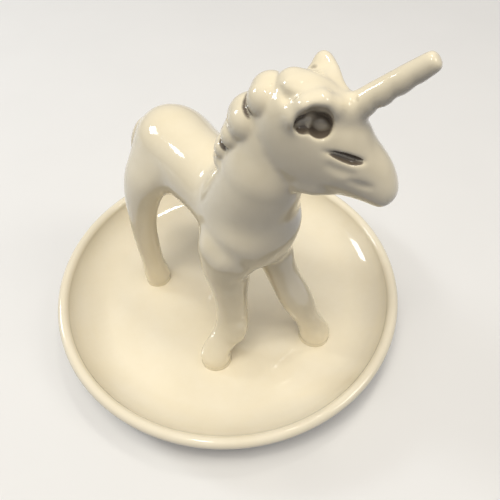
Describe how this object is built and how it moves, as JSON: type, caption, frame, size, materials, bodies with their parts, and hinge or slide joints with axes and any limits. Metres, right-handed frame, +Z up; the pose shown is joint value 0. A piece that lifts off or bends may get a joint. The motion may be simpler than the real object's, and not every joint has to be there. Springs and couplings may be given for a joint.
{
  "type": "unicorn figurine in a trinket dish",
  "caption": "Glazed ceramic unicorn figurine with a turned head and blunt horn, standing in a round shallow dish that holds rings and small trinkets.",
  "frame": {"origin": "centre of the dish's foot ring, on the surface that the dish stands on", "axes": "+Z up; the unicorn's body faces -Y, and its left side is +X"},
  "size_m": [0.11, 0.11, 0.1056],
  "materials": {
    "dish_glaze": "warm white high-gloss glaze, bare clay on the foot ring",
    "figure_glaze": "warm white high-gloss glaze"
  },
  "bodies": {
    "root": {"dish": "dish_glaze", "torso": "figure_glaze", "neck": "figure_glaze", "head": "figure_glaze", "horn": "figure_glaze", "right_ear": "figure_glaze", "left_ear": "figure_glaze", "right_foreleg": "figure_glaze", "left_foreleg": "figure_glaze", "right_hind_leg": "figure_glaze", "left_hind_leg": "figure_glaze", "mane_curl_1": "figure_glaze", "mane_curl_2": "figure_glaze", "mane_curl_3": "figure_glaze", "mane_curl_4": "figure_glaze", "mane_curl_5": "figure_glaze", "mane_curl_6": "figure_glaze", "tail": "figure_glaze"}
  },
  "joints": []
}
